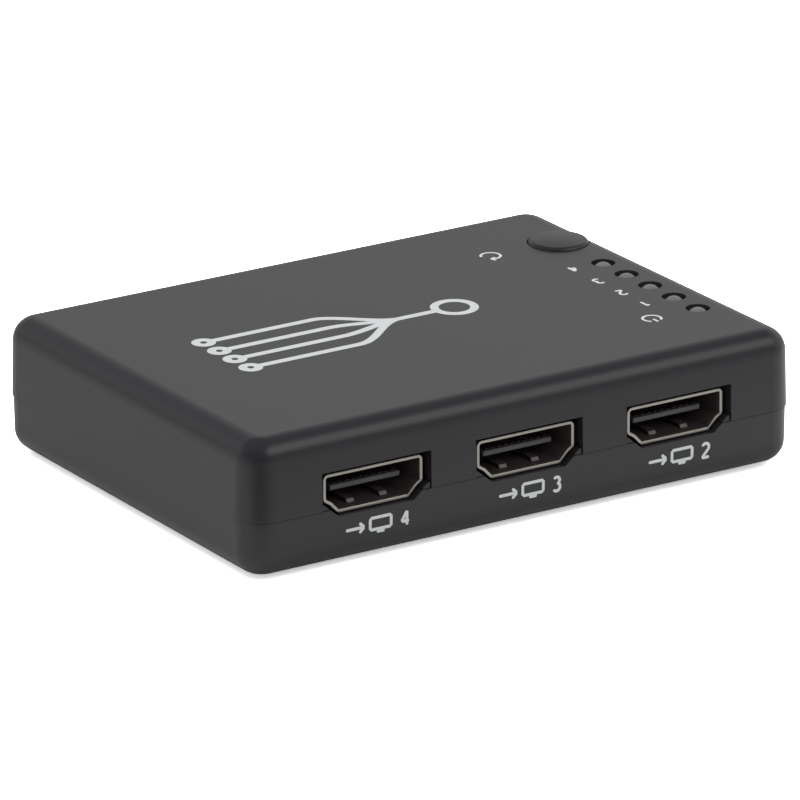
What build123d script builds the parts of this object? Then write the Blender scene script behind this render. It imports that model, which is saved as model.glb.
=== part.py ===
from build123d import *

import math
import os

# One-in, four-out HDMI splitter in a small two-shell plastic case. Millimetres, +Z up.
# The origin is the centre of the footprint, on the surface that the rubber feet stand on.
# Outputs 4, 3 and 2 look along -Y; output 1, the input and the power inlet look along +Y.

# Case
case_length = 85.2          # X, at the parting line
case_depth = 63.4           # Y, at the parting line
case_height = 18.6          # underside to flat top
parting_height = 7.8        # underside to parting line
wall = 2.0
corner_radius = 4.0         # upright corners
top_edge_radius = 3.2
base_edge_radius = 3.0
top_draft = 1.4             # degrees
base_draft = 0.9            # degrees
parting_step = 0.15         # the bottom shell is set in by this much at the line
lip_thickness = 0.8         # tongue of the bottom shell that locates the top shell
lip_height = 1.2
lip_clearance = 0.1
cut_overrun = 1.0           # how far every cutter runs past the face that it cuts

# Rubber feet and label recess
foot_diameter = 8.0
foot_thickness = 1.5
foot_proud = 0.5            # how far a foot stands below the case
foot_clearance = 0.2
foot_edge = 0.3             # chamfer
foot_inset_x = 12.6         # case side to foot centre
foot_inset_y = 10.2
label_length = 44.0
label_depth = 30.0
label_sink = 0.2
label_corner = 1.5

# Screws, bosses and circuit board
boss_inset_x = 5.3          # case side to screw axis
boss_inset_y = 5.4
boss_diameter = 5.2
standoff_diameter = 6.0
screw_diameter = 2.5
screw_clearance = 0.2       # radial, in the shell and the board
pilot_clearance = 0.03      # radial, in the boss
screw_length = 10.0         # under the head
screw_tip = 1.2
thread_pitch = 1.1
thread_depth = 0.3
head_diameter = 4.6
head_height = 1.4
head_clearance = 0.25
head_edge = 0.35
head_sink = 0.2             # how far the head lies inside its counterbore
cross_length = 2.6
cross_width = 0.7
cross_depth = 0.9
board_thickness = 1.6
board_lift = 4.85           # case underside to board underside
board_clearance = 0.4
board_corner = 1.4

# HDMI receptacle, from the flared rim of its folded steel shell
rim_width = 15.25
rim_height = 5.62
rim_side = 3.68             # upright part of the side, from the top
shoulder_width = 13.2
shoulder_drop = 4.32
rim_floor_width = 10.78
rim_corner = 0.8
rim_heel = 0.7
rim_kink = 0.9
rim_flare = 0.2             # rim beyond the body
rim_band = 0.5              # rim edge to opening
rim_depth = 0.5
rim_rounding = 0.14
rim_lift = 0.36             # board to rim
rim_recess = 1.0            # case face to rim
shell_length = 11.0
shell_leg_width = 1.2
shell_leg_front = 3.6       # rim face to the first leg's middle
shell_leg_pitch = 5.4
leg_overhang = 0.8          # below the board
leg_clearance = 0.15
finger_width = 1.1
finger_offset = 2.5         # middle of a finger from the middle of the socket
finger_thickness = 0.2
finger_rise = 0.55
finger_start = 1.5          # rim face to the front end of a lower finger
finger_lead = 0.3           # run of the steep lead-in at the front end
finger_run = 5.0
upper_finger_start = 2.4

# Contacts and insulator of the receptacle
tongue_width = 10.65
tongue_thickness = 0.7
tongue_lift = 2.83          # board to tongue underside
tongue_recess = 2.0         # rim face to tongue tip
tongue_edge = 0.08
block_start = 8.4           # rim face to insulator block
block_end = 11.3
block_clearance = 0.04
contact_pitch = 1.0
contact_width = 0.36
contact_thickness = 0.12
contact_setback = 0.5       # tongue tip to contact end
contact_clearance = 0.03
tail_gap = 0.05             # insulator to tail
tail_foot = 0.9
top_contact_count = 10
low_contact_count = 9

# Sockets in the case
socket_pitch_share = 0.2758 # of the case length
socket_side_gap = 0.68      # rim to the top shell's opening
socket_top_gap = 0.57
notch_gap = 0.12            # rim floor to the bottom shell's notch
slope_gap = 0.3             # sloping floor of the rim to the notch
tab_rise = 0.8              # parting line to the top of a tab beside a socket
tab_root = 0.4
tab_gap = 0.1               # tab to the top shell's opening
tab_sink = 0.1              # face of the bottom shell to a tab

# Barrel jack for the power lead
jack_width = 9.0
jack_height = 8.8
jack_depth = 12.6           # square body
jack_centre = 4.4           # board to bore axis
jack_collar_diameter = 7.8
jack_collar_recess = 0.7    # case face to collar
jack_hole_gap = 0.2
jack_body_gap = 0.3         # inside wall to square body
jack_bore = 6.2
jack_bore_depth = 10.4
jack_pin_diameter = 2.0
jack_pin_recess = 3.4       # case face to pin tip
jack_tail_width = 2.4
jack_tail_thickness = 0.4
jack_spring_width = 2.0
jack_spring_rise = 0.5
jack_spring_front = 4.0     # collar face to the spring's front end
jack_spring_run = 5.6
jack_spring_leg = 6.4       # collar face to the spring's leg

# Reset button and its tact switch
reset_inset_x = 6.4         # case side to button axis
reset_y_share = 0.254       # of the case depth, from its middle
reset_hole = 8.6
reset_gap = 0.12            # radial, cap to hole
reset_relief = 1.6          # how far the hole runs below the ceiling
reset_travel = 0.3
cap_proud = 0.35
cap_crown = 0.3
cap_edge = 0.6
cap_wall = 1.1
cap_stem = 3.0
cap_wing_width = 2.4
cap_wing_reach = 0.6
cap_wing_height = 0.8
cap_wing_gap = 0.1
switch_size = 6.0
switch_housing_height = 3.1
switch_floor = 1.0
switch_cavity = 4.8
switch_cover_thickness = 0.3
switch_height = 7.0         # board to plunger top
switch_plunger_diameter = 3.4
switch_plunger_gap = 0.1
switch_flange_diameter = 4.3
switch_flange_height = 0.7
switch_rivet = 0.9
switch_rivet_height = 0.15
switch_rivet_offset = 2.2
switch_dome_diameter = 4.5
switch_dome_height = 0.6
switch_dome_thickness = 0.1
switch_leg_width = 0.7
switch_leg_thickness = 0.3
switch_leg_offset = 2.25
switch_leg_height = 1.0

# Light-emitting diodes
led_inset_x = 6.27          # case side to the row of lights
led_first_share = -0.2713   # power light, of the case depth
led_pitch_share = 0.0888    # of the case depth
led_count = 5
led_diameter = 3.0
led_hole = 3.3
led_proud = 0.08            # dome top above the case top
led_body_height = 5.3
led_flange_diameter = 3.8
led_flange_height = 1.0
led_lead = 0.5
led_lead_pitch = 2.54
led_lead_hole = 0.8
led_spacer_diameter = 4.2

# Parts on the board; their places are shares of its length and depth
splitter_x_share = -0.05
splitter_size = 14.0
splitter_lead_pitch = 0.65
splitter_lead_width = 0.3
splitter_leads_per_side = 20
control_x_share = -0.312
control_y_share = 0.034
control_size = 7.0
control_lead_pitch = 0.8
control_lead_width = 0.35
control_leads_per_side = 8
flat_pack_height = 1.4
flat_pack_standoff = 0.1
flat_pack_edge = 0.3
lead_thickness = 0.15
lead_shoulder = 0.3
lead_foot = 0.6
tape_thickness = 0.3
heatsink_size = 13.6
heatsink_base = 1.4
heatsink_height = 5.6
heatsink_fin = 0.9
heatsink_fin_count = 7
memory_x_share = -0.437
memory_pitch_share = 0.257
memory_length = 4.9
memory_width = 3.9
memory_height = 1.35
memory_lead_pitch = 1.27
memory_lead_width = 0.42
memory_leads_per_side = 4
crystal_x_share = 0.17
crystal_length = 10.8
crystal_width = 4.4
crystal_height = 3.4
crystal_base_length = 11.4
crystal_base_width = 4.9
crystal_base_height = 0.6
regulator_x_share = 0.312
regulator_length = 6.5
regulator_width = 3.5
regulator_height = 1.6
regulator_tab = 3.0
regulator_lead = 0.7
regulator_lead_pitch = 2.3
inductor_x_share = 0.327
inductor_size = 7.0
inductor_height = 3.2
inductor_corner = 1.6
inductor_pad_width = 2.4
inductor_pad_reach = 0.3
can_x_share = 0.195
can_diameter = 6.3
can_height = 6.6
can_edge = 0.5
can_base_size = 6.8
can_base_height = 0.9
can_base_corner = 1.3
chip_length = 1.6
chip_width = 0.8
chip_height = 0.45
chip_pitch = 1.7
chip_row_gap = 1.6          # contact tails to a row of chips
chips_per_socket = 6
bypass_pitch = 3.2
bypass_gap = 1.4            # splitter leads to a row of bypass capacitors
bypass_per_side = 4

# Places of the power parts, as shares of the way from the jack's back to the front row of chips
crystal_way_share = 0.17
regulator_way_share = 0.15
inductor_way_share = 0.45
near_can_way_share = 0.47
far_can_way_share = 0.8

# Places that follow from the sizes
base_z = foot_proud
parting_z = base_z + parting_height
top_z = base_z + case_height
ceiling_z = top_z - wall
board_z = base_z + board_lift
board_top = board_z + board_thickness
boss_x = case_length / 2 - boss_inset_x
boss_y = case_depth / 2 - boss_inset_y
foot_x = case_length / 2 - foot_inset_x
foot_y = case_depth / 2 - foot_inset_y
reset_x = case_length / 2 - reset_inset_x
reset_y = reset_y_share * case_depth
led_x = case_length / 2 - led_inset_x
led_pitch = led_pitch_share * case_depth
led_first_y = led_first_share * case_depth
socket_pitch = socket_pitch_share * case_length
face_y = case_depth / 2
rim_y = face_y - rim_recess
rim_z = board_top + rim_lift
inner_length = case_length - 2 * wall
inner_depth = case_depth - 2 * wall
inner_corner = corner_radius - wall
base_length = case_length - 2 * parting_step
base_depth = case_depth - 2 * parting_step
board_length = base_length - 2 * wall - 2 * board_clearance
board_depth = base_depth - 2 * wall - 2 * board_clearance
splitter_x = splitter_x_share * board_length
splitter_y = 0
control_x = control_x_share * board_length
control_y = control_y_share * board_depth
memory_x = memory_x_share * board_length
memory_pitch_y = memory_pitch_share * board_depth
crystal_x = crystal_x_share * board_length
regulator_x = regulator_x_share * board_length
inductor_x = inductor_x_share * board_length
can_x = can_x_share * board_length
jack_start = wall + jack_body_gap - jack_collar_recess
jack_back_y = face_y - jack_collar_recess - jack_start - jack_depth - jack_tail_thickness
chip_row_y = rim_y - block_end - tail_foot - chip_row_gap - chip_length / 2
power_way = jack_back_y + chip_row_y - chip_length / 2
crystal_y = jack_back_y - crystal_way_share * power_way
regulator_y = jack_back_y - regulator_way_share * power_way
inductor_y = jack_back_y - inductor_way_share * power_way
near_can_y = jack_back_y - near_can_way_share * power_way
far_can_y = jack_back_y - far_can_way_share * power_way
sheet = rim_band - rim_flare
screw_seat_z = base_z + head_sink + head_height
jack_z = board_top + jack_centre
cap_diameter = reset_hole - 2 * reset_gap
cap_bottom = ceiling_z - cap_wing_gap - cap_wing_height
plunger_top = board_top + switch_height
switch_top = board_top + switch_housing_height
corners = [(sx, sy) for sx in (-1, 1) for sy in (-1, 1)]
sides = (-1, 1)

# Every socket: its name, its place along X and the side of the case that it looks out of
sockets = [
    ("output_4", -socket_pitch, -1),
    ("output_3", 0, -1),
    ("output_2", socket_pitch, -1),
    ("output_1", -socket_pitch, 1),
    ("input", 0, 1),
]
jack_x = socket_pitch
lights = ["power", "output_1", "output_2", "output_3", "output_4"]


def block(x0, x1, y0, y1, z0, z1):
    """Box between two corners."""
    return Pos((x0 + x1) / 2, (y0 + y1) / 2, (z0 + z1) / 2) * Box(x1 - x0, y1 - y0, z1 - z0)


def plate(x, y, z0, z1, length, depth):
    """Box over one point, from one height to another."""
    return Pos(x, y, (z0 + z1) / 2) * Box(length, depth, z1 - z0)


def post(x, y, z0, z1, diameter):
    """Upright cylinder from one height to another."""
    return Pos(x, y, (z0 + z1) / 2) * Cylinder(diameter / 2, z1 - z0)


def rounded_plate(x, y, z0, z1, length, depth, corner):
    """Plate with rounded upright corners."""
    return extrude(Pos(x, y, z0) * RectangleRounded(length, depth, corner), z1 - z0)


def moved(shape, location):
    """Copy of every solid of a shape at another place."""
    return [solid.moved(location) for solid in shape.solids()]


def seated(side, x, inset):
    """Frame of a part on one long side: its Y runs into the case, its Z up from the board."""
    turn = 0 if side < 0 else 180
    return Pos(x, side * (face_y - inset), board_top) * Rot(0, 0, turn)


def drafted_block(length, depth, corner, height, draft, edge_radius):
    """Rounded block that narrows upwards, with its top edges rounded."""
    body = extrude(RectangleRounded(length, depth, corner), height, taper=draft)
    room = corner - height * math.tan(math.radians(draft))
    near_full_share = 0.95
    radius = min(edge_radius, near_full_share * room)
    return fillet(body.edges().group_by(Axis.Z)[-1], radius)


# The two shells of the case
def socket_cut_top(x, side):
    """Square-cornered opening of the top shell around one socket."""
    half = rim_width / 2 + socket_side_gap
    top = rim_z + rim_height + socket_top_gap
    inner = side * (face_y - wall - cut_overrun)
    outer = side * (face_y + cut_overrun)
    return block(x - half, x + half, min(inner, outer), max(inner, outer), parting_z - cut_overrun, top)


def socket_tabs(x, side):
    """Block of the bottom shell that fills the foot of the top shell's opening at one socket."""
    half = rim_width / 2 + socket_side_gap - tab_gap
    inner = side * (inner_depth + lip_thickness) / 2
    outer = side * (base_depth / 2 - tab_sink)
    low, high = parting_z - tab_root, parting_z + tab_rise
    return block(x - half, x + half, min(inner, outer), max(inner, outer), low, high)


def socket_cut_base(x, side):
    """Notch of the bottom shell and its tabs; it follows the sloping floor of one socket."""
    half = rim_width / 2 + socket_side_gap
    lean = (rim_width - rim_floor_width) / 2 / (rim_height - rim_side)
    slope = rim_floor_width / 2 + slope_gap * math.hypot(1, lean)
    over = parting_z + lip_height + cut_overrun
    top = parting_z + tab_rise
    points = [
        (-half, over), (-half, top), (-slope - lean * (top - rim_z), top),
        (-slope + lean * notch_gap, rim_z - notch_gap),
    ]
    points += [(-px, pz) for px, pz in reversed(points)]
    outline = make_face(Polyline(*points, close=True))
    start = face_y - wall - cut_overrun
    notch = extrude(Plane.XZ.offset(-start) * outline, -(wall + 2 * cut_overrun))
    return Pos(x, 0, 0) * (notch if side > 0 else notch.mirror(Plane.XZ))


def jack_cut():
    """Round hole for the collar of the barrel jack, half of it in each shell."""
    radius = jack_collar_diameter / 2 + jack_hole_gap
    return Pos(jack_x, face_y - wall / 2, jack_z) * Rot(90, 0, 0) * Cylinder(radius, wall + 2 * cut_overrun)


def top_shell():
    height = case_height - parting_height
    outer = drafted_block(case_length, case_depth, corner_radius, height, top_draft, top_edge_radius)
    cavity = drafted_block(
        inner_length, inner_depth, inner_corner, height - wall, top_draft, top_edge_radius - wall
    )
    groove = lip_thickness + lip_clearance
    shell = Pos(0, 0, parting_z) * (outer - cavity)
    shell -= rounded_plate(
        0, 0, parting_z, parting_z + lip_height + lip_clearance,
        inner_length + 2 * groove, inner_depth + 2 * groove, inner_corner + groove,
    )
    pilot_top = screw_seat_z + screw_length + screw_clearance
    pilot = screw_diameter + 2 * pilot_clearance
    for sx, sy in corners:
        shell += post(sx * boss_x, sy * boss_y, board_top, ceiling_z + wall / 2, boss_diameter)
    for sx, sy in corners:
        shell -= post(sx * boss_x, sy * boss_y, board_top, pilot_top, pilot)
    for name, x, side in sockets:
        shell -= socket_cut_top(x, side)
    shell -= jack_cut()
    for index in range(led_count):
        shell -= post(led_x, led_first_y + index * led_pitch, ceiling_z - wall, top_z + cut_overrun, led_hole)
    shell -= post(reset_x, reset_y, ceiling_z - reset_relief, top_z + cut_overrun, reset_hole)
    return shell


def bottom_shell():
    outer = drafted_block(
        base_length, base_depth, corner_radius - parting_step, parting_height, base_draft, base_edge_radius
    )
    cavity = drafted_block(
        base_length - 2 * wall, base_depth - 2 * wall, inner_corner - parting_step,
        parting_height - wall, base_draft, base_edge_radius - wall,
    )
    shell = Pos(0, 0, parting_z) * Rot(180, 0, 0) * (outer - cavity)
    lip_corner = inner_corner + lip_thickness
    lip = rounded_plate(
        0, 0, parting_z - lip_height, parting_z + lip_height,
        inner_length + 2 * lip_thickness, inner_depth + 2 * lip_thickness, lip_corner,
    )
    lip -= rounded_plate(
        0, 0, parting_z - lip_height, parting_z + lip_height, inner_length, inner_depth, inner_corner
    )
    shell += lip
    pocket = head_diameter + 2 * head_clearance
    hole = screw_diameter + 2 * screw_clearance
    recess = foot_diameter + 2 * foot_clearance
    for sx, sy in corners:
        shell += post(sx * boss_x, sy * boss_y, base_z + wall / 2, board_z, standoff_diameter)
    for sx, sy in corners:
        shell -= post(sx * boss_x, sy * boss_y, base_z - cut_overrun, screw_seat_z, pocket)
        shell -= post(sx * boss_x, sy * boss_y, base_z, board_z + cut_overrun, hole)
        shell -= post(sx * foot_x, sy * foot_y, base_z - cut_overrun, foot_thickness, recess)
    shell -= rounded_plate(
        0, 0, base_z - cut_overrun, base_z + label_sink, label_length, label_depth, label_corner
    )
    for name, x, side in sockets:
        shell += socket_tabs(x, side)
    for name, x, side in sockets:
        shell -= socket_cut_base(x, side)
    shell -= jack_cut()
    return shell


def rubber_feet():
    foot = post(0, 0, 0, foot_thickness, foot_diameter)
    foot = chamfer(foot.edges().group_by(Axis.Z)[0], foot_edge)
    return [foot.solid().moved(Location((sx * foot_x, sy * foot_y, 0))) for sx, sy in corners]


def case_screws():
    """Pan-head tapping screws, driven from below; the thread is drawn as rings at its pitch."""
    core = screw_diameter / 2 - thread_depth
    crest = screw_diameter / 2
    turns = int((screw_length - screw_tip) / thread_pitch)
    points = [(0, 0), (core, 0)]
    for turn in range(turns):
        start = turn * thread_pitch
        points += [(core, start + thread_depth / 2), (crest, start + thread_pitch / 2)]
        points += [(core, start + thread_pitch - thread_depth / 2)]
    points += [(core, screw_length - screw_tip), (0, screw_length)]
    shank = revolve(Plane.XZ * make_face(Polyline(*points, close=True)), Axis.Z)
    head = post(0, 0, -head_height, 0, head_diameter)
    head = fillet(head.edges().group_by(Axis.Z)[0], head_edge)
    for length, width in ((cross_length, cross_width), (cross_width, cross_length)):
        head -= plate(0, 0, -head_height, cross_depth - head_height, length, width)
    screw = (head + shank).solid()
    return [screw.moved(Location((sx * boss_x, sy * boss_y, screw_seat_z))) for sx, sy in corners]


# HDMI receptacles, drawn once: X across, Y from the rim into the case, Z up from the board
def rim_outline(inset):
    """Outline of the receptacle's shell, a given distance inside the rim's edge."""
    top = rim_lift + rim_height
    half = [
        (rim_width / 2, top),
        (rim_width / 2, top - rim_side),
        (shoulder_width / 2, top - shoulder_drop),
        (rim_floor_width / 2, rim_lift),
    ]
    points = half + [(-px, pz) for px, pz in reversed(half)]
    outline = make_face(Polyline(*points, close=True))
    radii = (rim_corner, rim_heel, rim_kink, rim_heel)
    for (px, pz), radius in zip(half, radii):
        pair = [v for v in outline.vertices() if abs(abs(v.X) - px) + abs(v.Y - pz) < tail_gap]
        outline = fillet(pair, radius)
    return offset(outline, -inset) if inset else outline


def socket_prism(inset, y0, y1):
    """Straight length of the receptacle's outline."""
    return extrude(Plane.XZ.offset(-y0) * rim_outline(inset), -(y1 - y0))


def finger(start, level, rise):
    """Sprung strip cut from the sheet: a steep lead-in at its free end, then a long bow back to it.
    Level is the sheet's inner face; the bow rises from it into the opening."""
    sink = math.copysign(sheet / 2, rise)
    tip = math.copysign(finger_thickness, rise)
    knee_rise_share = 0.8
    free_end = (start, level - sink + tip)
    knee = (start + finger_lead, level + knee_rise_share * rise)
    top = (start + finger_run / 2, level + rise)
    root = (start + finger_run, level - sink + tip)
    low_free_end, low_knee, low_top, low_root = [(y, z - tip) for y, z in (free_end, knee, top, root)]
    face = make_face([
        Line(free_end, knee),
        ThreePointArc(knee, top, root),
        Line(root, low_root),
        ThreePointArc(low_root, low_top, low_knee),
        Line(low_knee, low_free_end),
        Line(low_free_end, free_end),
    ])
    return extrude(Plane.YZ.offset(-finger_width / 2) * face, finger_width)


def hdmi_shell():
    """Folded and plated steel shell with a flared rim, four board legs and sprung fingers."""
    rim = socket_prism(0, 0, rim_depth)
    opening = socket_prism(rim_band, -cut_overrun, shell_length + cut_overrun)
    rim = rim - opening
    rim = fillet(rim.edges().group_by(Axis.Y)[0], rim_rounding)
    shell = rim + (socket_prism(rim_flare, rim_depth, shell_length) - opening)
    side = rim_width / 2 - rim_flare
    side_foot = rim_lift + rim_height - rim_side
    for sx in sides:
        for number in (0, 1):
            y = shell_leg_front + number * shell_leg_pitch
            inner, outer = sorted((sx * (side - sheet), sx * side))
            half = shell_leg_width / 2
            shell += block(
                inner, outer, y - half, y + half,
                -board_thickness - leg_overhang, side_foot + shell_leg_width,
            )
    mouth = rim_floor_width / 2 - sheet
    shell -= block(
        -mouth, mouth, block_start - block_clearance, shell_length + cut_overrun, 0, rim_lift + rim_band
    )
    for sx in sides:
        x = sx * finger_offset
        shell += Pos(x, 0, 0) * finger(finger_start, rim_lift + rim_band, finger_rise)
        shell += Pos(x, 0, 0) * finger(
            upper_finger_start, rim_lift + rim_height - rim_band, -finger_rise
        )
    return shell


def contact_set(grow):
    """Nineteen contact strips, ten over the tongue and nine under it, with tails to the board."""
    rows = (
        (top_contact_count, tongue_lift + tongue_thickness),
        (low_contact_count, tongue_lift - contact_thickness),
    )
    half = contact_width / 2 + grow
    start = tongue_recess + contact_setback
    tail = block_end + tail_gap
    strips = []
    for count, level in rows:
        for index in range(count):
            x = (index - (count - 1) / 2) * contact_pitch
            strip = block(
                x - half, x + half, start - grow, tail + contact_thickness,
                level - grow, level + contact_thickness + grow,
            )
            if not grow:
                strip += block(
                    x - half, x + half, tail, tail + contact_thickness, 0, level + contact_thickness
                )
                strip += block(x - half, x + half, tail, tail + tail_foot, 0, contact_thickness)
            strips.append(strip)
    return strips


def hdmi_insulator():
    """Moulded tongue and the block that holds it in the shell and stands on the board."""
    top = rim_lift + rim_height - rim_band
    body = socket_prism(rim_band + block_clearance, block_start, block_end)
    mouth = rim_floor_width / 2 - sheet - block_clearance
    body += block(-mouth, mouth, block_start, block_end, 0, top / 2)
    tongue = block(
        -tongue_width / 2, tongue_width / 2, tongue_recess, block_start + tail_gap,
        tongue_lift, tongue_lift + tongue_thickness,
    )
    tongue = chamfer(tongue.edges().group_by(Axis.Y)[0], tongue_edge)
    body += tongue
    slots = [
        strip & block(-rim_width, rim_width, block_start, block_end + cut_overrun, 0, top)
        for strip in contact_set(contact_clearance)
    ]
    for slot in slots:
        body -= slot
    return body


# Barrel jack, in the same frame but with Y from the collar's face
def jack_body():
    back = jack_start + jack_depth
    body = block(-jack_width / 2, jack_width / 2, jack_start, back, 0, jack_height)
    body = fillet(body.edges().filter_by(Axis.Y).group_by(Axis.Z)[-1], cap_edge)
    along = Rot(90, 0, 0)
    body += Pos(0, jack_start / 2, jack_centre) * along * Cylinder(jack_collar_diameter / 2, jack_start)
    bore = Pos(0, (jack_bore_depth - cut_overrun) / 2, jack_centre) * along
    body -= bore * Cylinder(jack_bore / 2, jack_bore_depth + cut_overrun)
    pin_hole = jack_pin_diameter / 2 + block_clearance
    body -= Pos(0, back, jack_centre) * along * Cylinder(pin_hole, 2 * (back - jack_bore_depth) + cut_overrun)
    slot = jack_spring_width / 2 + leg_clearance
    body -= block(
        -slot, slot, jack_spring_front - leg_clearance, jack_bore_depth, 0, jack_centre
    )
    return body


def jack_pin():
    """Solid centre pin with a flat tail behind the body, down through the board."""
    back = jack_start + jack_depth
    start = jack_pin_recess - jack_collar_recess
    length = back - start
    pin = Pos(0, start + length / 2, jack_centre) * Rot(90, 0, 0) * Cylinder(jack_pin_diameter / 2, length)
    pin = fillet(pin.edges().group_by(Axis.Y)[0], jack_pin_diameter / 4)
    half = jack_tail_width / 2
    return pin + block(
        -half, half, back, back + jack_tail_thickness,
        -board_thickness - leg_overhang, jack_centre + half,
    )


def jack_spring():
    """Bowed sleeve contact in the floor of the bore, with its leg down through the board."""
    level = jack_centre - jack_bore / 2
    rise = jack_spring_rise
    thick = jack_tail_thickness / 2
    start = jack_spring_front
    end = start + jack_spring_run
    middle = (start + end) / 2
    lower = ThreePointArc((start, level - thick), (middle, level + rise - thick), (end, level - thick))
    upper = ThreePointArc((end, level), (middle, level + rise), (start, level))
    ends = [Line(lower @ 1, upper @ 0), Line(upper @ 1, lower @ 0)]
    face = make_face([lower, ends[0], upper, ends[1]])
    half = jack_spring_width / 2
    strip = extrude(Plane.YZ.offset(-half) * face, jack_spring_width)
    leg_top = level + rise - thick
    return strip + block(
        -half, half, jack_spring_leg, jack_spring_leg + jack_tail_thickness,
        -board_thickness - leg_overhang, leg_top,
    )


# Reset button: a crowned cap on a stem, pressing a tact switch
def reset_button_cap():
    """Crowned cap with a skirt, two retaining wings and a stem down to the switch."""
    radius = cap_diameter / 2
    edge_top = top_z + cap_proud
    sphere = (radius ** 2 + cap_crown ** 2) / (2 * cap_crown)
    midway = edge_top + cap_crown - sphere + math.sqrt(sphere ** 2 - (radius / 2) ** 2)
    crown = ThreePointArc((radius, edge_top), (radius / 2, midway), (0, edge_top + cap_crown))
    outline = [
        Line((0, cap_bottom), (radius, cap_bottom)),
        Line((radius, cap_bottom), (radius, edge_top)),
        crown,
        Line((0, edge_top + cap_crown), (0, cap_bottom)),
    ]
    face = make_face(outline)
    shoulder = face.vertices().sort_by_distance((radius, edge_top, 0))[0]
    cap = Pos(reset_x, reset_y, 0) * revolve(Plane.XZ * fillet(shoulder, cap_edge), Axis.Z)
    hollow = cap_diameter - 2 * cap_wall
    cap -= post(reset_x, reset_y, cap_bottom - cut_overrun, top_z - cap_wall, hollow)
    cap += post(reset_x, reset_y, plunger_top, top_z - cap_wall / 2, cap_stem)
    for sy in sides:
        near = reset_y + sy * (radius - cap_wall / 2)
        far = reset_y + sy * (radius + cap_wing_reach)
        half = cap_wing_width / 2
        cap += block(
            reset_x - half, reset_x + half, min(near, far), max(near, far),
            cap_bottom, cap_bottom + cap_wing_height,
        )
    return cap


def switch_plunger():
    plunger = post(reset_x, reset_y, flange_z, plunger_top, switch_plunger_diameter)
    plunger = fillet(plunger.edges().group_by(Axis.Z)[-1], switch_plunger_gap)
    return plunger + post(
        reset_x, reset_y, flange_z, flange_z + switch_flange_height, switch_flange_diameter
    )


def switch_housing():
    body = plate(reset_x, reset_y, board_top, switch_top, switch_size, switch_size)
    body = fillet(body.edges().filter_by(Axis.Z), switch_plunger_gap)
    return body - post(
        reset_x, reset_y, board_top + switch_floor, switch_top + cut_overrun, switch_cavity
    )


def switch_cover():
    top = switch_top + switch_cover_thickness
    cover = plate(reset_x, reset_y, switch_top, top, switch_size, switch_size)
    cover = fillet(cover.edges().filter_by(Axis.Z), switch_plunger_gap)
    opening = switch_plunger_diameter + 2 * switch_plunger_gap
    cover -= post(reset_x, reset_y, switch_top - cut_overrun, top + cut_overrun, opening)
    for sx, sy in corners:
        x = reset_x + sx * switch_rivet_offset
        y = reset_y + sy * switch_rivet_offset
        cover += post(x, y, switch_top, top + switch_rivet_height, switch_rivet)
    return cover


def switch_dome():
    """Sprung steel dome between the switch floor and the plunger."""
    half = switch_dome_diameter / 2
    rise = switch_dome_height
    thick = switch_dome_thickness
    outer = ThreePointArc((-half, 0), (0, rise), (half, 0))
    inner = ThreePointArc((half - thick, 0), (0, rise - thick), (thick - half, 0))
    edges = [outer, Line((half, 0), (half - thick, 0)), inner, Line((thick - half, 0), (-half, 0))]
    face = make_face(edges) & Pos(half / 2, rise / 2) * Rectangle(half, 2 * rise)
    dome = revolve(Plane.XZ * face, Axis.Z)
    return Pos(reset_x, reset_y, board_top + switch_floor) * dome


def switch_terminals():
    legs = []
    for sx, sy in corners:
        near = reset_x + sx * switch_size / 2
        far = near + sx * switch_leg_thickness
        y = reset_y + sy * switch_leg_offset
        half = switch_leg_width / 2
        legs.append(block(
            min(near, far), max(near, far), y - half, y + half,
            board_z - leg_overhang, board_top + switch_leg_height,
        ))
    return legs


flange_z = board_top + switch_floor + switch_dome_height


# Lights: five 3 mm lamps on spacers, with square leads through the board
def led_y(index):
    return led_first_y + index * led_pitch


def led_lamp(index):
    radius = led_diameter / 2
    dome_z = led_base_z + led_body_height - radius
    lamp = post(led_x, led_y(index), led_base_z, led_base_z + led_flange_height, led_flange_diameter)
    lamp += post(led_x, led_y(index), led_base_z, dome_z, led_diameter)
    upright = (Align.CENTER, Align.CENTER, Align.MIN)
    return lamp + Pos(led_x, led_y(index), dome_z) * Sphere(radius, arc_size1=0, align=upright)


def led_leads(width, z0, z1):
    leads = []
    for index in range(led_count):
        for sy in sides:
            y = led_y(index) + sy * led_lead_pitch / 2
            leads.append(plate(led_x, y, z0, z1, width, width))
    return leads


def led_spacers():
    spacers = []
    holes = led_leads(led_lead_hole, board_top - cut_overrun, led_base_z + cut_overrun)
    for index in range(led_count):
        spacer = post(led_x, led_y(index), board_top, led_base_z, led_spacer_diameter)
        for hole in holes[2 * index:2 * index + 2]:
            spacer -= hole
        spacers.append(spacer)
    return spacers


led_base_z = top_z + led_proud - led_body_height


# Flat packages and the other parts on the board
def pack_body(x, y, length, depth, height):
    """Moulded package just above the board, its top edges bevelled."""
    z0 = board_top + flat_pack_standoff
    body = plate(x, y, z0, z0 + height, length, depth)
    return chamfer(body.edges().group_by(Axis.Z)[-1], flat_pack_edge)


def gull_wing(half_body, width, height):
    """Bent lead: a shoulder out of the package, a drop and a foot on the board."""
    z = flat_pack_standoff + height / 2
    half = width / 2
    knee = half_body + lead_shoulder
    lead = block(half_body, knee + lead_thickness, -half, half, z - lead_thickness, z)
    lead += block(knee, knee + lead_thickness, -half, half, 0, z)
    lead += block(knee, knee + lead_foot, -half, half, 0, lead_thickness)
    return lead.solid()


def lead_row(x, y, half_body, width, height, pitch, count, turns):
    """Rows of bent leads on the given sides of a package."""
    lead = gull_wing(half_body, width, height)
    leads = []
    for turn in turns:
        for index in range(count):
            shift = (index - (count - 1) / 2) * pitch
            leads.append(lead.moved(Pos(x, y, board_top) * Rot(0, 0, turn) * Pos(0, shift, 0)))
    return leads


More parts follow.
